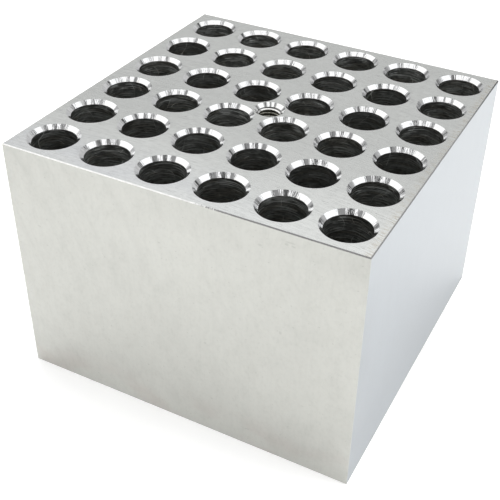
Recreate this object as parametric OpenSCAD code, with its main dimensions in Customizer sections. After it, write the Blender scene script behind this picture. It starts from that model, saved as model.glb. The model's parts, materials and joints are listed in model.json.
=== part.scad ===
// Heat block insert: one machined aluminium block with a square grid of
// blind wells for round tubes, and a tapped hole in the middle of the top
// face for the screw-in lifting handle.
// Millimetres. +Z is up, the origin is at the middle of the underside.

/* [Wells] */
// Wells along X
cols = 6; // [2:1:8]
// Wells along Y
rows = 6; // [2:1:8]
// Centre-to-centre distance of the wells, the same along X and Y
pitch = 24.5; // [24:0.25:40]
// Well diameter, a sliding fit on a 17 mm tube
well_d = 17.5; // [10:0.1:18]
// Depth from the top face to the end of the full diameter
well_depth = 95; // [40:1:95]
// 45 degree chamfer at each mouth, measured along the top face
well_chamfer = 1.6; // [0.4:0.1:1.8]
// Included angle of the drill point that ends each well
drill_point = 118; // [90:1:140]

/* [Block] */
// Overall height
block_h = 110; // [105:1:140]
// From the centre of an outer well to the side face
edge_margin = 13.75; // [12:0.25:30]
// Break on the edges of the top and bottom faces, measured along the face
edge_break = 0.4; // [0.1:0.1:0.8]
// Break on the four upright edges, measured along the face
corner_break = 0.15; // [0.05:0.05:0.8]

/* [Lifting hole] */
// Tapping drill diameter, for an M10 x 1.5 thread
lift_drill_d = 8.5; // [6.8:0.1:10.2]
// Depth of the full drilled diameter
lift_depth = 30; // [15:1:60]
// Diameter of the countersink where it meets the top face
lift_mouth_d = 12.9; // [10.8:0.1:13]

/* [Hidden] */
block_w = (cols - 1) * pitch + 2 * edge_margin;
block_d = (rows - 1) * pitch + 2 * edge_margin;
// how far each cutter stands out of the top face
over = 0.1;
// the lifting hole sits where four wells meet, next to the middle well
// when a count is odd
lift_x = cols % 2 == 0 ? 0 : pitch / 2;
lift_y = rows % 2 == 0 ? 0 : pitch / 2;
function well_x(i) = (i - (cols - 1) / 2) * pitch;
function well_y(j) = (j - (rows - 1) / 2) * pitch;
// height of a drill point of diameter d
function point_h(d) = d / 2 / tan(drill_point / 2);
$fn = 96;

// rectangle w by d about the origin, its corners cut at 45 degrees by c
module broken_rect(w, d, c) {
    x = w / 2;
    y = d / 2;
    polygon([
        [c - x, -y], [x - c, -y], [x, c - y], [x, y - c],
        [x - c, y], [c - x, y], [-x, y - c], [-x, c - y]
    ]);
}

// box w by d by h standing on z = 0, its top and bottom edges broken by c
// and its upright edges by u
module broken_box(w, d, h, c, u) {
    intersection() {
        linear_extrude(height = h) broken_rect(w, d, u);
        translate([0, d / 2, h / 2]) rotate([90, 0, 0])
            linear_extrude(height = d) broken_rect(w, h, c);
        translate([-w / 2, 0, h / 2]) rotate([90, 0, 90])
            linear_extrude(height = w) broken_rect(d, h, c);
    }
}

// drill, drill point and countersink in one turned cutter, its z = 0 at
// the face it cuts into
module hole_cutter(d, depth, mouth_d) {
    r = d / 2;
    m = mouth_d / 2;
    rotate_extrude()
        polygon([
            [0, -depth - point_h(d)], [r, -depth], [r, r - m],
            [m + over, over], [0, over]
        ]);
}

// the whole block, drilled and countersunk
module heat_block() {
    color([0.80, 0.81, 0.82])
    difference() {
        broken_box(block_w, block_d, block_h, edge_break, corner_break);
        for (i = [0:cols - 1], j = [0:rows - 1])
            translate([well_x(i), well_y(j), block_h])
                hole_cutter(well_d, well_depth, well_d + 2 * well_chamfer);
        translate([lift_x, lift_y, block_h])
            hole_cutter(lift_drill_d, lift_depth, lift_mouth_d);
    }
}

heat_block();
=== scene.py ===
import json
import math
import bpy
import bmesh
from mathutils import Matrix, Vector
from mathutils.geometry import delaunay_2d_cdt

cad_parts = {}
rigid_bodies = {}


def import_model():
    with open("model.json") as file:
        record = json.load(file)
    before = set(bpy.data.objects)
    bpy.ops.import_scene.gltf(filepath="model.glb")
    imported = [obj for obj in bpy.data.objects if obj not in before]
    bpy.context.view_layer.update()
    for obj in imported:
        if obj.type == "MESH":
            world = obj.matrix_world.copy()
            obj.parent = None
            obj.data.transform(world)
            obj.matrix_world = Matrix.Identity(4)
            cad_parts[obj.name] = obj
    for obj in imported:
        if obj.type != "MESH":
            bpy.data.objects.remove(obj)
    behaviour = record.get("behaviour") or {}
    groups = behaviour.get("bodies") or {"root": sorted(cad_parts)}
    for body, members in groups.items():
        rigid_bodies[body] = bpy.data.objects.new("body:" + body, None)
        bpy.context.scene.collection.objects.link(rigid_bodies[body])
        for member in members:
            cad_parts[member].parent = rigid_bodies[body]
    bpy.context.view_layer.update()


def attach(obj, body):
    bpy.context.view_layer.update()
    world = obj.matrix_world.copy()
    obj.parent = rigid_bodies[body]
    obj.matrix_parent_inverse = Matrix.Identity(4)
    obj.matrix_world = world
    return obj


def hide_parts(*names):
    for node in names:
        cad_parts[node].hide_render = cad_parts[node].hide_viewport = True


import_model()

scene = bpy.context.scene
MM = 0.001

# ---------------------------------------------------------------- dimensions
W, D, H = 150.0, 150.0, 110.0
PITCH, COUNT = 24.5, 6
WELL_R, WELL_DEPTH, WELL_CH = 8.75, 95.0, 1.6
POINT = math.tan(math.radians(59.0))
LIFT_R, LIFT_MAJOR_R, LIFT_DEPTH, LIFT_MOUTH_R = 4.25, 5.0, 30.0, 6.45
THREAD = 1.5
EDGE, CORNER = 0.4, 0.15  # breaks on the top and bottom edges, and on the four upright ones
SEG = 128
TSEG = 96

# ------------------------------------------------------------------ camera
cam_data = bpy.data.cameras.new("camera")
cam = bpy.data.objects.new("camera", cam_data)
scene.collection.objects.link(cam)
cam.matrix_world = Matrix((
    (0.893132, -0.283443, 0.349249, 0.148061),
    (0.448828, 0.510721, -0.733293, -0.297589),
    (0.029478, 0.811680, 0.583358, 0.281707),
    (0.0, 0.0, 0.0, 1.0),
))
cam_data.sensor_width = 36.0
cam_data.lens = 65.263
cam_data.shift_x = -0.05745
cam_data.shift_y = -0.01418
cam_data.clip_start = 0.01
cam_data.clip_end = 50.0
scene.camera = cam

# ------------------------------------------------------------------- lights
scene.view_settings.view_transform = "Standard"
scene.view_settings.look = "None"
scene.view_settings.exposure = 0.0
scene.view_settings.gamma = 1.0


def tree_of(owner):
    owner.use_nodes = True
    t = owner.node_tree
    t.nodes.clear()
    return t


class Nodes:
    """Short calls for building a node tree: each returns the node's output."""

    def __init__(self, tree):
        self.t = tree

    def new(self, kind, **props):
        n = self.t.nodes.new(kind)
        for k, v in props.items():
            setattr(n, k, v)
        return n

    def put(self, socket, value):
        if isinstance(value, bpy.types.NodeSocket):
            self.t.links.new(value, socket)
        else:
            socket.default_value = value

    def math(self, op, a, b=None, c=None, clamp=False):
        n = self.new("ShaderNodeMath", operation=op, use_clamp=clamp)
        for s, v in zip(n.inputs, (a, b, c)):
            if v is not None:
                self.put(s, v)
        return n.outputs[0]

    def ramp(self, x, a, b, lo=0.0, hi=1.0, smooth=True):
        n = self.new("ShaderNodeMapRange", interpolation_type="SMOOTHSTEP" if smooth else "LINEAR", clamp=True)
        for k, v in (("Value", x), ("From Min", a), ("From Max", b), ("To Min", lo), ("To Max", hi)):
            self.put(n.inputs[k], v)
        return n.outputs["Result"]

    def mix(self, f, a, b, kind="RGBA", blend="MIX"):
        n = self.new("ShaderNodeMix", data_type=kind)
        if kind == "RGBA":
            n.blend_type = blend
            i, o = (0, 6, 7), 2
        else:
            i, o = (0, 2, 3), 0
        for s, v in zip(i, (f, a, b)):
            self.put(n.inputs[s], v)
        return n.outputs[o]

    def noise(self, vec, scale=1.0, detail=2.0, rough=0.5, dist=0.0, dims="3D", w=None):
        n = self.new("ShaderNodeTexNoise", noise_dimensions=dims)
        self.put(n.inputs["Vector"], vec)
        n.inputs["Scale"].default_value = scale
        n.inputs["Detail"].default_value = detail
        n.inputs["Roughness"].default_value = rough
        n.inputs["Distortion"].default_value = dist
        if w is not None:
            self.put(n.inputs["W"], w)
        return n.outputs["Fac"]

    def split(self, vec):
        n = self.new("ShaderNodeSeparateXYZ")
        self.put(n.inputs[0], vec)
        return n.outputs

    def join(self, x, y, z):
        n = self.new("ShaderNodeCombineXYZ")
        for s, v in zip(n.inputs, (x, y, z)):
            self.put(s, v)
        return n.outputs[0]

    def bump(self, height, strength, distance, normal=None):
        n = self.new("ShaderNodeBump")
        n.inputs["Strength"].default_value = strength
        n.inputs["Distance"].default_value = distance
        self.put(n.inputs["Height"], height)
        if normal is not None:
            self.put(n.inputs["Normal"], normal)
        return n.outputs[0]


def world():
    """A white tent seen as directions: a lit back wall between two darker corners, white sides, a dim camera side."""
    w = bpy.data.worlds.new("studio")
    scene.world = w
    n = Nodes(tree_of(w))
    d = n.split(n.new("ShaderNodeTexCoord").outputs["Generated"])
    el = n.math("MULTIPLY", n.math("ARCSINE", d[2]), 57.29578)
    # azimuth from +Y towards +X, in degrees, from -60 on the left of the back wall to 300
    az = n.math("MULTIPLY", n.math("ARCTAN2", d[0], d[1]), 57.29578)
    az = n.math("ADD", az, n.math("MULTIPLY", n.math("LESS_THAN", az, -110.0), 360.0))
    tilt = n.math("ADD", el, n.math("MULTIPLY", n.math("ADD", az, 25.0), -0.12))
    back = n.math("ADD", n.ramp(tilt, 29.5, 38.5, 0.53, 1.36), n.ramp(az, -8.0, 6.0, 0.0, 0.08))
    # right of the back wall a dark seam that leans outwards, then the grey side of the tent
    past = n.math("SUBTRACT", az, n.math("MULTIPLY_ADD", el, 0.375, n.ramp(el, 12.0, 24.0, 19.6, 21.0)))
    low = n.ramp(past, 0.0, 5.0, 0.02, 0.37)
    high = n.ramp(past, n.ramp(el, 27.0, 34.0, 0.0, 3.0), n.ramp(el, 27.0, 34.0, 4.2, 9.0), 0.03, 0.46)
    side = n.mix(n.ramp(el, 14.5, 19.0), low, high, kind="FLOAT")
    right = n.mix(n.ramp(past, -3.8, -1.5), back, side, kind="FLOAT")
    # left of it the grey side runs down to a dark seam
    fall = n.ramp(az, -74.0, -64.5, 0.46, 0.14)
    left = n.mix(n.ramp(az, -61.5, -59.5), fall, right, kind="FLOAT")
    # towards the camera it is dim up to the height of the ceiling sheet, dimmest behind the camera
    near = n.math("MULTIPLY", n.ramp(az, 80.0, 90.0), n.math("SUBTRACT", 1.0, n.ramp(az, 236.0, 250.0)))
    mid = n.math("MULTIPLY", n.ramp(az, 146.0, 156.0), n.math("SUBTRACT", 1.0, n.ramp(az, 180.0, 192.0)))
    dim = n.mix(mid, 0.31, n.ramp(el, 57.0, 64.0, 0.09, 0.31), kind="FLOAT")
    level = n.mix(near, left, dim, kind="FLOAT")
    bg = n.new("ShaderNodeBackground")
    bg.inputs["Color"].default_value = (1.0, 1.0, 1.0, 1.0)
    n.put(bg.inputs["Strength"], level)
    out = n.new("ShaderNodeOutputWorld")
    n.t.links.new(bg.outputs[0], out.inputs["Surface"])


SKY = 0.882  # height of the tent's ceiling above the block's top face


def sheet(name, cuts, radiance, colour=(1.0, 1.0, 1.0), reach=4.0, lift=0.0, fade=None):
    """A glowing ceiling sheet: a big square clipped by lines (angle of the outward normal, distance), in ceiling heights."""
    poly = [Vector((x, y)) for x, y in ((-reach, -reach), (reach, -reach), (reach, reach), (-reach, reach))]
    for ang, dist in cuts:
        nrm = Vector((math.cos(math.radians(ang)), math.sin(math.radians(ang))))
        out = []
        for p, q in zip(poly, poly[1:] + poly[:1]):
            a, b = p.dot(nrm) - dist, q.dot(nrm) - dist
            if a <= 0:
                out.append(p)
            if (a < 0) != (b < 0) and a != b:
                out.append(p.lerp(q, a / (a - b)))
        poly = out
    me = bpy.data.meshes.new(name)
    me.from_pydata([(p.x * SKY, p.y * SKY, H * MM + SKY + lift) for p in poly], [], [list(range(len(poly)))])
    obj = bpy.data.objects.new(name, me)
    scene.collection.objects.link(obj)
    m = bpy.data.materials.new(name)
    n = Nodes(tree_of(m))
    e = n.new("ShaderNodeEmission")
    e.inputs["Color"].default_value = (*colour, 1.0)
    e.inputs["Strength"].default_value = radiance
    if fade:
        y = n.split(n.new("ShaderNodeTexCoord").outputs["Object"])[1]
        n.put(e.inputs["Strength"], n.ramp(y, fade[0] * SKY, fade[1] * SKY, fade[2], radiance))
    o = n.new("ShaderNodeOutputMaterial")
    n.t.links.new(e.outputs[0], o.inputs[0])
    me.materials.append(m)
    obj.visible_camera = False
    obj.visible_shadow = False
    obj.visible_diffuse = False
    return obj


def fill(name, place, size, watts, colour=(1.0, 1.0, 1.0)):
    """A large soft light that only the floor answers to: it isn't mirrored in the metal."""
    light = bpy.data.lights.new(name, "AREA")
    light.shape = "DISK"
    light.size = size
    light.energy = watts
    light.color = colour
    obj = bpy.data.objects.new(name, light)
    obj.location = place
    obj.rotation_euler = (Vector((0, 0, 0)) - Vector(place)).to_track_quat("-Z", "Y").to_euler()
    obj.visible_glossy = False
    scene.collection.objects.link(obj)


world()
# one bright ceiling sheet, split by the dark wedges that open towards the camera
sheet("sheet_right", ((112.5, 0.57), (214.0, -0.625)), 1.22, (0.985, 0.995, 1.0))
sheet("sheet_middle", ((2.0, 0.47), (228.0, 0.193), (90.0, 1.1), (180.0, -0.06)), 1.22)
sheet("sheet_centre", ((-3.0, 0.074), (208.5, 0.50), (90.0, 1.1)), 1.22)
sheet("sheet_left", ((-6.5, -0.4935), (100.0, 0.89)), 1.22, (1.0, 0.998, 0.99))
# behind the right wedge the tent glows faintly, less and less towards the camera
sheet("sheet_glow", ((0.0, 0.95), (180.0, -0.40), (90.0, 0.55), (270.0, 0.24)), 0.64, lift=0.004, fade=(-0.15, 0.04, 0.14))
fill("fill_top", (-0.2, 0.1, 2.2), 2.2, 31.0)
fill("fill_front", (-0.7, -2.2, 1.3), 1.6, 13.5)
fill("fill_right", (2.2, 0.3, 1.3), 1.6, 24.0)

# -------------------------------------------------------------------- floor
bm = bmesh.new()
bmesh.ops.create_grid(bm, x_segments=1, y_segments=1, size=4.0)
me = bpy.data.meshes.new("floor")
bm.to_mesh(me)
bm.free()
floor = bpy.data.objects.new("floor", me)
scene.collection.objects.link(floor)
floor.location = (0, 0, 0)
m = bpy.data.materials.new("floor")
n = Nodes(tree_of(m))
b = n.new("ShaderNodeBsdfPrincipled")
b.inputs["Roughness"].default_value = 0.85
b.inputs["Specular IOR Level"].default_value = 0.2
b.inputs["Emission Color"].default_value = (1.0, 1.0, 1.0, 1.0)
b.inputs["Emission Strength"].default_value = 0.31
co = n.new("ShaderNodeTexCoord").outputs["Object"]
n.put(b.inputs["Base Color"], n.mix(n.ramp(n.noise(co, 6.0, 3.0), 0.3, 0.7), (0.90, 0.90, 0.895, 1), (0.93, 0.93, 0.925, 1)))
o = n.new("ShaderNodeOutputMaterial")
n.t.links.new(b.outputs[0], o.inputs[0])
me.materials.append(m)

# ---------------------------------------------------------------- materials


def metal(name, roughness, colour):
    m = bpy.data.materials.new(name)
    n = Nodes(tree_of(m))
    b = n.new("ShaderNodeBsdfPrincipled")
    b.inputs["Metallic"].default_value = 1.0
    b.inputs["Roughness"].default_value = roughness
    b.inputs["Base Color"].default_value = (*colour, 1.0)
    o = n.new("ShaderNodeOutputMaterial")
    n.t.links.new(b.outputs[0], o.inputs[0])
    return m, n, b


def scaled(n, xyz, sx, sy, sz, ox=0.0, oy=0.0, oz=0.0):
    """Object coordinates in millimetres, stretched per axis and shifted."""
    return n.join(*(n.math("MULTIPLY_ADD", c, k * 1000.0, o) for c, k, o in zip(xyz, (sx, sy, sz), (ox, oy, oz))))


def milled_top():
    """The milled top: fine feed lines almost along X that bow a little, short scuffs, a soft cloud of tone."""
    base = (0.740, 0.754, 0.738)
    m, n, b = metal("milled_top", 0.26, base)
    x, y, z = n.split(n.new("ShaderNodeTexCoord").outputs["Object"])
    # the cutter's arcs: y bent by a long radius
    bow = n.math("ADD", y, n.math("MULTIPLY", n.math("POWER", n.math("ADD", x, 0.03), 2.0), 0.9))
    arc = (x, bow, z)
    line = n.noise(scaled(n, arc, 0.05, 3.2, 1.0), 1.0, 3.0, 0.65)
    scuff = n.noise(scaled(n, arc, 0.28, 1.5, 1.0, 7.0), 1.0, 4.0, 0.7)
    grain = n.noise(scaled(n, (x, y, z), 2.4, 2.4, 2.4), 1.0, 2.0, 0.6)
    cloud = n.noise(scaled(n, (x, y, z), 0.035, 0.05, 0.05, 3.1), 1.0, 3.0, 0.5)
    fleck = n.noise(scaled(n, (x, y, z), 0.42, 0.42, 0.42, 1.7), 1.0, 2.0, 0.6)
    dark = n.math("ADD", n.ramp(line, 0.48, 0.76, 0.0, 0.17), n.ramp(scuff, 0.52, 0.76, 0.0, 0.32))
    dark = n.math("ADD", dark, n.ramp(cloud, 0.35, 0.7, 0.0, 0.06))
    dark = n.math("ADD", dark, n.ramp(fleck, 0.35, 0.68, -0.015, 0.020))
    light = n.math("MULTIPLY", n.ramp(line, 0.22, 0.46, 0.07, 0.0), 1.0)
    k = n.math("SUBTRACT", n.math("ADD", 1.0, light), dark)
    # painted reflection: the top is made a little brighter towards the back and along the front strip, matching how it
    # mirrors the room
    k = n.math("MULTIPLY", k, n.math("MULTIPLY", n.ramp(y, -0.030, 0.052, 0.970, 1.055), n.ramp(y, -0.028, -0.055, 1.0, 1.05)))
    stroke = n.math("MULTIPLY", n.ramp(x, 0.0705, 0.0735), n.ramp(scuff, 0.46, 0.60))
    hue = n.mix(stroke, (*base, 1.0), (base[0] * 0.97, base[1] * 0.93, base[2] * 0.875, 1.0))
    cool = n.math("MULTIPLY", n.ramp(y, -0.045, -0.072), n.ramp(x, 0.06, -0.03))
    hue = n.mix(n.math("MULTIPLY", cool, n.ramp(cloud, 0.35, 0.6, 0.4, 1.0)), hue, (base[0] * 0.975, base[1] * 0.975, base[2] * 1.02, 1.0))
    tone = n.new("ShaderNodeVectorMath", operation="SCALE")
    n.put(tone.inputs[0], hue)
    n.put(tone.inputs["Scale"], k)
    n.put(b.inputs["Base Color"], tone.outputs[0])
    r = n.math("ADD", n.math("MULTIPLY", scuff, 0.10), n.math("MULTIPLY", cloud, 0.05))
    n.put(b.inputs["Roughness"], n.math("ADD", r, 0.185))
    h = n.math("ADD", n.math("MULTIPLY", line, 0.6), n.math("MULTIPLY", grain, 0.25))
    h = n.math("ADD", h, n.math("MULTIPLY", scuff, 0.5))
    n.put(b.inputs["Normal"], n.bump(h, 1.0, 0.0000035))
    return m


# small nicks on the front face: centre across and up in mm, half length, half height
NICKS = ((46.4, 106.1, 1.9, 0.35), (45.0, 105.0, 0.7, 0.5), (47.6, 104.8, 0.9, 0.3), (35.0, 101.3, 0.9, 0.5), (43.9, 65.4, 0.6, 0.7), (12.3, 47.0, 0.6, 0.6))


# painted reflection: broad soft patches painted lighter or darker on the two cut faces, matching how they mirror the
# lit floor: centre along and up in mm, half sizes, and how much lighter or darker
FRONT_PAINTED_LIGHT = ((-3.0, 88.0, 34.0, 17.0, 0.035), (55.0, 13.0, 20.0, 17.0, -0.065), (-30.0, 6.0, 34.0, 12.0, 0.05), (-71.0, 74.0, 11.0, 20.0, 0.03),
              (74.0, 106.0, 16.0, 15.0, -0.06), (73.5, 50.0, 5.0, 24.0, 0.035), (73.5, 16.0, 6.0, 11.0, 0.055), (-73.0, 107.0, 12.0, 10.0, -0.035))
RIGHT_PAINTED_LIGHT = ((-75.0, 72.0, 14.0, 34.0, -0.06), (-50.0, 5.0, 60.0, 13.0, 0.05))


def milled_side(name, base, rough, mottle, seed, worn_and_shaded=False, painted_light_patches=()):
    """A cut face: faint upright lines, blotches, a few slanting smears and specks; mottle sets how much."""
    m, n, b = metal(name, rough, base)
    x, y, z = n.split(n.new("ShaderNodeTexCoord").outputs["Object"])
    w = n.math("ADD", x, y)  # runs along whichever face this is
    line = n.noise(scaled(n, (w, w, z), 0.9, 0.0, 0.035, seed), 1.0, 3.0, 0.6)
    blotch = n.noise(scaled(n, (x, y, z), 0.16, 0.16, 0.11, seed, 2.0), 1.0, 4.0, 0.62)
    fine = n.noise(scaled(n, (x, y, z), 0.75, 0.75, 0.55, seed, 5.0), 1.0, 3.0, 0.7)
    cloud = n.noise(scaled(n, (x, y, z), 0.028, 0.028, 0.022, seed, 9.0), 1.0, 3.0, 0.5)
    slant = n.math("ADD", w, n.math("MULTIPLY", z, 0.62))
    smear = n.noise(scaled(n, (slant, w, z), 0.22, 0.0, 0.02, seed, 1.0), 1.0, 2.0, 0.5)
    speck = n.noise(scaled(n, (x, y, z), 0.95, 0.95, 0.95, seed, 4.0), 1.0, 1.0, 0.4)
    dark = n.math("ADD", n.ramp(blotch, 0.38, 0.72, 0.0, 0.045 * mottle), n.ramp(fine, 0.45, 0.75, 0.0, 0.045 * mottle))
    dark = n.math("ADD", dark, n.ramp(line, 0.45, 0.75, 0.0, 0.022))
    dark = n.math("ADD", dark, n.ramp(smear, 0.55, 0.75, 0.0, 0.022 * mottle))
    dark = n.math("ADD", dark, n.ramp(speck, 0.73, 0.80, 0.0, 0.13 * mottle))
    light = n.math("ADD", n.ramp(cloud, 0.35, 0.7, 0.0, 0.035), n.ramp(fine, 0.40, 0.22, 0.0, 0.035 * mottle))
    hue = (*base, 1.0)
    if worn_and_shaded:
        front = n.math("LESS_THAN", y, -0.0745)
        # wide cutter arcs that show in the upper left corner
        lean = n.math("ADD", w, n.math("MULTIPLY", n.math("POWER", n.math("MAXIMUM", z, 0.0), 2.0), 2.5))
        arcs = n.noise(scaled(n, (lean, lean, lean), 0.17, 0.0, 0.0, 2.0, 6.0, 1.0), 1.0, 2.0, 0.6)
        here = n.math("MULTIPLY", front, n.math("MULTIPLY", n.ramp(x, 0.012, -0.04), n.ramp(z, 0.03, 0.075)))
        dark = n.math("ADD", dark, n.math("MULTIPLY", here, n.ramp(arcs, 0.44, 0.72, 0.0, 0.045)))
        # painted shade: darker, warmer patches low down on the front face, standing in for the floor's contact shadow
        # that it mirrors
        low = n.math("MULTIPLY", front, n.ramp(z, 0.020, 0.006))
        painted_low_shade = n.math("MULTIPLY", low, n.ramp(n.noise(scaled(n, (x, y, z), 0.045, 0.0, 0.09, 1.7, 2.2), 1.0, 2.0), 0.42, 0.6))
        hue = n.mix(painted_low_shade, hue, (base[0] * 0.955, base[1] * 0.925, base[2] * 0.925, 1.0))
        for cx, cz, hx, hz in NICKS:
            u = n.math("MULTIPLY", n.math("SUBTRACT", x, cx * MM), 1000.0 / hx)
            v = n.math("MULTIPLY", n.math("SUBTRACT", z, cz * MM), 1000.0 / hz)
            q = n.math("ADD", n.math("MULTIPLY", u, u), n.math("MULTIPLY", v, v))
            dark = n.math("ADD", dark, n.math("MULTIPLY", front, n.ramp(q, 1.4, 0.3, 0.0, 0.11)))
    k = n.math("SUBTRACT", n.math("ADD", 0.99, light), dark)
    along = x if worn_and_shaded else y
    near = n.math("LESS_THAN", y, -0.0745) if worn_and_shaded else n.math("GREATER_THAN", x, 0.0745)
    # painted reflection: the patches lighten or darken the front face, or the right one
    for cx, cz, hx, hz, amount in painted_light_patches:
        u = n.math("MULTIPLY", n.math("SUBTRACT", along, cx * MM), 1000.0 / hx)
        v = n.math("MULTIPLY", n.math("SUBTRACT", z, cz * MM), 1000.0 / hz)
        q = n.math("SQRT", n.math("ADD", n.math("MULTIPLY", u, u), n.math("MULTIPLY", v, v)))
        k = n.math("ADD", k, n.math("MULTIPLY", near, n.ramp(q, 1.3, 0.0, 0.0, amount)))
    tone = n.new("ShaderNodeVectorMath", operation="SCALE")
    n.put(tone.inputs[0], hue if worn_and_shaded else base)
    n.put(tone.inputs["Scale"], k)
    n.put(b.inputs["Base Color"], tone.outputs[0])
    r = n.math("ADD", rough - 0.05, n.math("MULTIPLY", cloud, 0.05))
    n.put(b.inputs["Roughness"], n.math("ADD", r, n.math("MULTIPLY", fine, 0.06 * mottle)))
    h = n.math("ADD", n.math("MULTIPLY", line, 0.5), n.math("MULTIPLY", fine, 0.5))
    h = n.math("ADD", h, n.math("MULTIPLY", speck, 0.3 * mottle))
    n.put(b.inputs["Normal"], n.bump(h, 1.0, 0.000003))
    return m


def around(n):
    """Where a point of a well lies: its angle as a unit circle, height in mm, radius in mm, and the well's own number."""
    x, y, z = n.split(n.new("ShaderNodeTexCoord").outputs["Object"])
    p = PITCH * MM
    gx, gy = n.math("DIVIDE", x, p), n.math("DIVIDE", y, p)
    ix, iy = n.math("FLOOR", gx), n.math("FLOOR", gy)
    lx = n.math("MULTIPLY", n.math("SUBTRACT", n.math("SUBTRACT", gx, ix), 0.5), PITCH)
    ly = n.math("MULTIPLY", n.math("SUBTRACT", n.math("SUBTRACT", gy, iy), 0.5), PITCH)
    r = n.math("SQRT", n.math("ADD", n.math("MULTIPLY", lx, lx), n.math("MULTIPLY", ly, ly)))
    seed = n.math("MULTIPLY_ADD", ix, 3.7, n.math("MULTIPLY", iy, 9.1))
    return n.math("DIVIDE", lx, r), n.math("DIVIDE", ly, r), n.math("MULTIPLY", z, 1000.0), r, seed


def turned(name, base, rough, here=False):
    """A countersunk mouth: bright, cut in one turn, with fine chatter across the cut and hair-fine rings."""
    m, n, b = metal(name, rough, base)
    if here:
        x, y, z = n.split(n.new("ShaderNodeTexCoord").outputs["Object"])
        lx, ly = n.math("MULTIPLY", x, 1000.0), n.math("MULTIPLY", y, 1000.0)
        r = n.math("SQRT", n.math("ADD", n.math("MULTIPLY", lx, lx), n.math("MULTIPLY", ly, ly)))
        cx, cy, z, seed = n.math("DIVIDE", lx, r), n.math("DIVIDE", ly, r), n.math("MULTIPLY", z, 1000.0), n.math("ADD", 0.5, 0.0)
    else:
        cx, cy, z, r, seed = around(n)
    # chatter is a noise on the circle, so that it has no seam: 12 wide makes about one mark per 0.8 mm
    at = n.join(n.math("MULTIPLY_ADD", cx, 12.0, seed), n.math("MULTIPLY", cy, 12.0), n.math("MULTIPLY", z, 0.25))
    chatter = n.noise(at, 1.0, 2.0, 0.6)
    at = n.join(n.math("MULTIPLY_ADD", cx, 4.0, seed), n.math("MULTIPLY", cy, 4.0), n.math("MULTIPLY", z, 0.15))
    sway = n.noise(at, 1.0, 1.0, 0.5)
    ring = n.noise(n.join(n.math("MULTIPLY", z, 7.0), seed, 0.0), 1.0, 3.0, 0.6)
    # it comes and goes round the mouth
    strong = n.ramp(n.noise(n.join(n.math("MULTIPLY_ADD", cx, 1.2, seed), n.math("MULTIPLY", cy, 1.2), 3.0), 1.0, 1.0), 0.35, 0.65, 0.35, 1.0)
    h = n.math("ADD", n.math("MULTIPLY", chatter, strong), n.math("MULTIPLY", ring, 0.02))
    h = n.math("ADD", h, n.math("MULTIPLY", sway, 0.2))
    n.put(b.inputs["Normal"], n.bump(h, 1.0, 0.00002 if here else 0.00011))
    k = n.math("SUBTRACT", 1.0, n.ramp(chatter, 0.5, 0.75, 0.0, 0.10))
    # the chatter marks are real; on the side of each mouth towards -X they are also painted dark, a painted reflection
    # of the dark band that side mirrors
    at = n.join(n.math("MULTIPLY_ADD", cx, 19.0, seed), n.math("MULTIPLY", cy, 19.0), n.math("MULTIPLY", z, 0.3))
    dark_side_marks = n.ramp(n.noise(at, 1.0, 1.0, 0.5), 0.49, 0.57, -0.03, 0.13)
    facing = n.math("ADD", n.math("MULTIPLY", cx, -0.983), n.math("MULTIPLY", cy, -0.182))
    k = n.math("SUBTRACT", k, n.math("MULTIPLY", dark_side_marks, n.ramp(facing, 0.88, 0.965, 0.05, 1.0)))
    tone = n.new("ShaderNodeVectorMath", operation="SCALE")
    tone.inputs[0].default_value = base
    n.put(tone.inputs["Scale"], k)
    n.put(b.inputs["Base Color"], tone.outputs[0])
    n.put(b.inputs["Roughness"], n.math("ADD", rough - 0.03, n.math("MULTIPLY", chatter, 0.06)))
    return m


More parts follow.
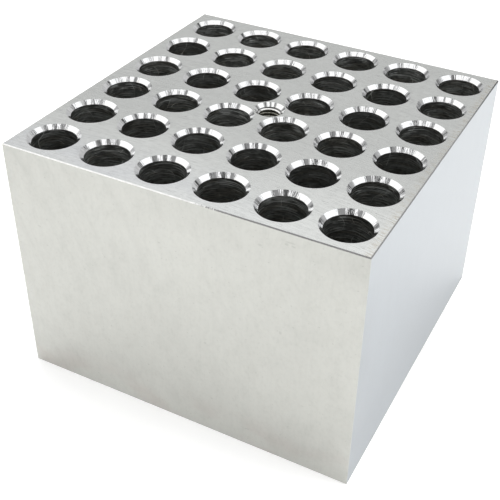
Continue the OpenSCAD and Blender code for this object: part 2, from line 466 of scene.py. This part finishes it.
def bored():
    """A drilled wall, dull, its dark colour painted shade of the deep well, with hair-thin feed marks round it that are
    bumped and painted light as highlights, and a few long slanting scratches.
    """
    base = (0.603, 0.617, 0.604)
    m, n, b = metal("drilled_bore", 0.40, base)
    cx, cy, z, r, seed = around(n)
    depth = n.math("SUBTRACT", H, z)

    def on_wall(wide, tall, shift=0.0, detail=0.0, lift=0.0):
        return n.noise(n.join(n.math("MULTIPLY_ADD", cx, wide, n.math("ADD", seed, shift)), n.math("MULTIPLY_ADD", cy, wide, lift), n.math("MULTIPLY", lean, tall)), 1.0, detail, 0.6)

    # the marks run round nearly level, drifting a little with the angle
    lean = n.math("ADD", z, n.math("MULTIPLY", cx, 0.35))
    coarse = on_wall(0.7, 0.45, 0.0, 1.0)
    fine = on_wall(1.1, 6.5, 0.0, 1.0)
    drift = on_wall(0.5, 0.10, 2.0, 1.0)

    def marks(per_mm, width, shift, lo, hi):
        """Thin level lines, each with its own strength that comes and goes round the wall."""
        t = n.math("ADD", n.math("MULTIPLY_ADD", lean, per_mm, shift), n.math("MULTIPLY", drift, 3.0 * per_mm))
        near = n.math("ABSOLUTE", n.math("SUBTRACT", n.math("FRACT", t), 0.5))
        line = n.ramp(near, width * per_mm, 0.0)
        own = n.noise(n.join(n.math("MULTIPLY_ADD", cx, 1.7, seed), n.math("MULTIPLY_ADD", cy, 1.7, shift), n.math("MULTIPLY", n.math("FLOOR", t), 7.31)), 1.0, 0.0)
        return n.math("MULTIPLY", line, n.ramp(own, lo, hi))

    # some wells are marked more than others
    much = n.ramp(n.noise(n.join(n.math("MULTIPLY", seed, 0.61), 4.2, 1.3), 1.0, 0.0), 0.38, 0.62, 0.45, 1.15)
    feed_marks_and_glints = n.math("MAXIMUM", marks(0.9, 0.16, 0.0, 0.46, 0.62), n.math("MULTIPLY", marks(1.9, 0.11, 3.7, 0.46, 0.60), 0.7))
    feed_marks_and_glints = n.math("MULTIPLY", n.math("MULTIPLY", feed_marks_and_glints, much), n.ramp(coarse, 0.36, 0.56, 0.35, 1.0))
    # fainter further down
    feed_marks_and_glints = n.math("MULTIPLY", feed_marks_and_glints, n.ramp(depth, 4.5, 8.0, 1.05, 0.55))
    tex = on_wall(5.0, 1.6, 7.0, 2.0)
    streak = on_wall(2.7, 1.25, 11.0, 1.0)
    # long scratches: thin level lines of a slow noise, steep on the wall
    slow = n.noise(n.join(n.math("MULTIPLY_ADD", cx, 1.3, seed), n.math("MULTIPLY_ADD", cy, 1.3, 4.0), n.math("MULTIPLY", z, 0.10)), 1.0, 0.0)
    scr = n.ramp(n.math("ABSOLUTE", n.math("SUBTRACT", slow, 0.5)), 0.010, 0.0, 0.0, 1.15)
    gate = n.ramp(n.noise(n.join(n.math("MULTIPLY_ADD", cx, 1.1, n.math("ADD", seed, 5.0)), cy, n.math("MULTIPLY", z, 0.2)), 1.0, 1.0), 0.50, 0.57)
    scr = n.math("MULTIPLY", scr, gate)
    # painted shade and painted highlight: the wall's colour stays dark, the feed marks lift it towards bright metal and
    # the scratches lighten it
    k = n.math("ADD", n.math("MULTIPLY", feed_marks_and_glints, 1.75), n.math("MULTIPLY", scr, 0.80))
    k = n.math("ADD", k, n.math("MULTIPLY_ADD", fine, 0.42, n.math("ADD", n.ramp(coarse, 0.35, 0.65, 0.03, 0.14), n.math("ADD", n.ramp(tex, 0.35, 0.68, 0.0, 0.16), n.ramp(streak, 0.46, 0.60, 0.0, 0.10)))))
    # the painted shade is darkest just under the chamfer and eases further down
    k = n.math("MULTIPLY", k, n.math("MULTIPLY", n.ramp(depth, 1.6, 3.2, 0.87, 1.12), n.ramp(depth, 3.2, 7.5, 1.0, 1.50)))
    k = n.math("MINIMUM", k, 1.5)
    tone = n.new("ShaderNodeVectorMath", operation="SCALE")
    warm = n.mix(n.ramp(coarse, 0.55, 0.35), (*base, 1.0), (base[0] * 1.035, base[1] * 0.995, base[2] * 0.95, 1.0))
    n.put(tone.inputs[0], warm)
    n.put(tone.inputs["Scale"], k)
    n.put(b.inputs["Base Color"], tone.outputs[0])
    n.put(b.inputs["Roughness"], n.math("ADD", n.math("MULTIPLY", feed_marks_and_glints, 0.10), n.math("MULTIPLY_ADD", scr, 0.15, 0.37)))
    h = n.math("ADD", n.math("MULTIPLY", feed_marks_and_glints, 0.4), n.math("MULTIPLY", fine, 0.3))
    h = n.math("ADD", h, n.math("MULTIPLY", scr, 0.3))
    n.put(b.inputs["Normal"], n.bump(h, 1.0, 0.00010))
    return m


def edge_break():
    """The broken edges: a narrow bright cut with a little waver along it."""
    base = (0.82, 0.82, 0.815)
    m, n, b = metal("edge_break", 0.08, base)
    x, y, z = n.split(n.new("ShaderNodeTexCoord").outputs["Object"])
    wave = n.noise(scaled(n, (x, y, z), 0.55, 0.55, 0.55), 1.0, 2.0, 0.6)
    tone = n.new("ShaderNodeVectorMath", operation="SCALE")
    tone.inputs[0].default_value = base
    n.put(tone.inputs["Scale"], n.ramp(wave, 0.3, 0.7, 1.03, 0.92))
    n.put(b.inputs["Base Color"], tone.outputs[0])
    n.put(b.inputs["Roughness"], n.math("MULTIPLY_ADD", wave, 0.07, 0.045))
    n.put(b.inputs["Normal"], n.bump(wave, 1.0, 0.00002))
    return m


def threads():
    """The tapped wall: cut flanks, with painted shade darkening the thread roots."""
    base = (0.88, 0.876, 0.86)
    m, n, b = metal("thread", 0.18, base)
    x, y, z = n.split(n.new("ShaderNodeTexCoord").outputs["Object"])
    lx, ly = n.math("MULTIPLY", x, 1000.0), n.math("MULTIPLY", y, 1000.0)
    r = n.math("SQRT", n.math("ADD", n.math("MULTIPLY", lx, lx), n.math("MULTIPLY", ly, ly)))
    mark = n.noise(n.join(n.math("MULTIPLY", lx, 3.0), n.math("MULTIPLY", ly, 3.0), n.math("MULTIPLY", z, 6000.0)), 1.0, 3.0, 0.6)
    # painted shade: the thread roots, recessed between the crests, are darkened
    root = n.ramp(r, 4.5, 4.95, 1.0, 0.22)
    # painted shade: below the first turn the flanks are darkened to a dull olive and made rougher, standing in for the
    # shade deeper in the hole; the first turn keeps the bright metal
    below_first_turn = n.ramp(z, (H - 2.45) * MM, (H - 2.95) * MM)
    tone = n.new("ShaderNodeVectorMath", operation="SCALE")
    n.put(tone.inputs[0], n.mix(below_first_turn, (*base, 1.0), (0.42, 0.415, 0.36, 1.0)))
    # painted glints: a few bright specks below the first turn
    painted_glint = n.math("MULTIPLY", below_first_turn, n.ramp(mark, 0.60, 0.68, 0.0, 1.1))
    n.put(tone.inputs["Scale"], n.math("ADD", n.math("MULTIPLY", root, n.ramp(mark, 0.3, 0.7, 0.85, 1.1)), painted_glint))
    n.put(b.inputs["Base Color"], tone.outputs[0])
    n.put(b.inputs["Roughness"], n.math("ADD", n.math("MULTIPLY", below_first_turn, 0.10), n.math("MULTIPLY_ADD", mark, 0.10, 0.12)))
    n.put(b.inputs["Normal"], n.bump(mark, 1.0, 0.00001))
    return m


MATS = [
    milled_top(),
    # painted shade: the front and right faces are the top's metal made darker to match how they are lit; the front's
    # warm tint and the right's blue tint are painted reflection
    milled_side("milled_front_painted_shade", (0.511, 0.514, 0.485), 0.37, 1.15, 7.7, worn_and_shaded=True, painted_light_patches=FRONT_PAINTED_LIGHT),
    milled_side("milled_right_painted_shade", (0.405, 0.432, 0.4565), 0.33, 0.25, 31.3, painted_light_patches=RIGHT_PAINTED_LIGHT),
    turned("turned_chamfer", (0.88, 0.885, 0.89), 0.085),
    bored(),
    edge_break(),
    threads(),
    turned("turned_sink", (0.88, 0.885, 0.88), 0.12, here=True),
]
TOP, SIDE, SIDE_X, CHAMFER, BORE, BREAK, THREAD_M, SINK = range(8)

# --------------------------------------------------------------------- mesh


def body():
    bm = bmesh.new()
    w, d, e, c = W / 2, D / 2, EDGE, CORNER
    pts = []
    for sx in (-1, 1):
        for sy in (-1, 1):
            for z0, up in ((0.0, 1.0), (H, -1.0)):
                pts += [(sx * (w - e), sy * (d - e), z0), (sx * (w - c / 2), sy * (d - c / 2), z0 + up * (e - c / 2)),
                        (sx * w, sy * (d - c), z0 + up * e * 1.02), (sx * (w - c), sy * d, z0 + up * e * 1.02)]
    hull = [bm.verts.new(p) for p in pts]
    bmesh.ops.convex_hull(bm, input=hull)
    bmesh.ops.dissolve_limit(bm, angle_limit=math.radians(1.0), verts=list(bm.verts), edges=list(bm.edges))
    for f in bm.faces:
        f.normal_update()
        f.smooth = False
        big = max(range(3), key=lambda i: abs(f.normal[i]))
        flat = abs(f.normal[big]) > 0.99
        f.material_index = SIDE_X if flat and big == 0 else TOP if flat and big == 2 else BREAK if not flat and abs(f.normal.z) > 0.3 else SIDE
    for ed in bm.edges:
        ed.smooth = False
    top = max(bm.faces, key=lambda f: f.calc_center_median().z)
    outer = [v for v in top.verts]
    bmesh.ops.delete(bm, geom=[top], context="FACES_ONLY")

    def ring(cx, cy, r, z, n):
        return [bm.verts.new((cx + r * math.cos(2 * math.pi * i / n), cy + r * math.sin(2 * math.pi * i / n), z)) for i in range(n)]

    def strip(a, b, mat, smooth=True):
        n = len(a)
        out = []
        for i in range(n):
            j = (i + 1) % n
            f = bm.faces.new((a[i], a[j], b[j], b[i]))
            f.material_index = mat
            f.smooth = smooth
            out.append(f)
        return out

    def sharp(r):
        n = len(r)
        for i in range(n):
            e = bm.edges.get((r[i], r[(i + 1) % n]))
            if e:
                e.smooth = False

    centres = [((i - (COUNT - 1) / 2) * PITCH, (j - (COUNT - 1) / 2) * PITCH) for j in range(COUNT) for i in range(COUNT)]
    loops = [outer]
    holes = []
    rings = []
    for cx, cy in centres:
        mouth = ring(cx, cy, WELL_R + WELL_CH, H, SEG)
        loops.append(mouth)
        holes.append((cx, cy, WELL_R + WELL_CH))
        r0 = ring(cx, cy, WELL_R, H - WELL_CH, SEG)
        strip(mouth, r0, CHAMFER)
        prev = r0
        for depth in (5.0, 14.0, 40.0, WELL_DEPTH):
            r1 = ring(cx, cy, WELL_R, H - depth, SEG)
            strip(prev, r1, BORE)
            prev = r1
        tip = bm.verts.new((cx, cy, H - WELL_DEPTH - WELL_R / POINT))
        for i in range(SEG):
            f = bm.faces.new((prev[i], prev[(i + 1) % SEG], tip))
            f.material_index = BORE
            f.smooth = True
        rings += [mouth, r0, prev]

    # tapped hole: one wall swept by depth and angle, its radius the greater of the countersink and the thread
    def groove(s):
        s = abs((s + THREAD / 2) % THREAD - THREAD / 2)
        root, flank = 0.094, math.tan(math.radians(30.0))
        return max(LIFT_R, min(LIFT_MAJOR_R, LIFT_MAJOR_R - (s - root) / flank))

    mouth = ring(0, 0, LIFT_MOUTH_R, H, TSEG)
    loops.append(mouth)
    holes.append((0, 0, LIFT_MOUTH_R))
    depths = [LIFT_MOUTH_R - LIFT_MAJOR_R - 0.02]
    while depths[-1] < 12.0:
        depths.append(depths[-1] + 0.1)
    while depths[-1] < 26.0:
        depths.append(depths[-1] + 0.15)
    depths.append(LIFT_DEPTH)
    prev = mouth
    for k, depth in enumerate(depths):
        cone = LIFT_MOUTH_R - depth
        fade = min(1.0, max(0.0, (25.5 - depth) / 1.0))
        row = []
        for i in range(TSEG):
            a = 2 * math.pi * i / TSEG
            r = LIFT_R + (groove(depth + THREAD * (a / (2 * math.pi)) + 0.74) - LIFT_R) * fade
            r = max(r, cone)
            row.append(bm.verts.new((r * math.cos(a), r * math.sin(a), H - depth)))
        strip(prev, row, SINK if k == 0 else THREAD_M)
        if k == 0:
            rings += [mouth, row]
        prev = row
    rings.append(prev)
    tip = bm.verts.new((0, 0, H - LIFT_DEPTH - LIFT_R / POINT))
    for i in range(TSEG):
        f = bm.faces.new((prev[i], prev[(i + 1) % TSEG], tip))
        f.material_index = THREAD_M
        f.smooth = True

    # the top face, triangulated between its outline and the mouths
    flat, edges, back = [], [], []
    for loop in loops:
        s = len(flat)
        flat += [Vector((v.co.x, v.co.y)) for v in loop]
        back += loop
        edges += [(s + i, s + (i + 1) % len(loop)) for i in range(len(loop))]
    got = delaunay_2d_cdt(flat, edges, [], 1, 1e-5)
    which = [o[0] for o in got[3]]
    for tri in got[2]:
        vs = [back[which[i]] for i in tri]
        c = sum((v.co for v in vs), Vector()) / 3
        if any((c.x - x) ** 2 + (c.y - y) ** 2 < (r * math.cos(math.pi / TSEG)) ** 2 * 0.99999 and all(abs(math.hypot(v.co.x - x, v.co.y - y) - r) < 1e-3 for v in vs) for x, y, r in holes):
            continue
        f = bm.faces.new(vs)
        f.material_index = TOP
        f.smooth = True
    bmesh.ops.recalc_face_normals(bm, faces=list(bm.faces))
    for r in rings:
        sharp(r)
    for i, v in enumerate(outer):
        e = bm.edges.get((v, outer[(i + 1) % len(outer)]))
        e.smooth = False
    for v in bm.verts:
        v.co *= MM
    me = bpy.data.meshes.new("heat_block_body")
    bm.to_mesh(me)
    loose = sum(1 for e in bm.edges if len(e.link_faces) != 2)
    print("body: verts", len(bm.verts), "faces", len(bm.faces), "open edges", loose, "volume cm3", bm.calc_volume() * 1e6)
    bm.free()
    for m in MATS:
        me.materials.append(m)
    me.validate()
    obj = bpy.data.objects.new("heat_block_body", me)
    scene.collection.objects.link(obj)
    return obj


block = body()
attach(block, "root")
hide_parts("heat_block")
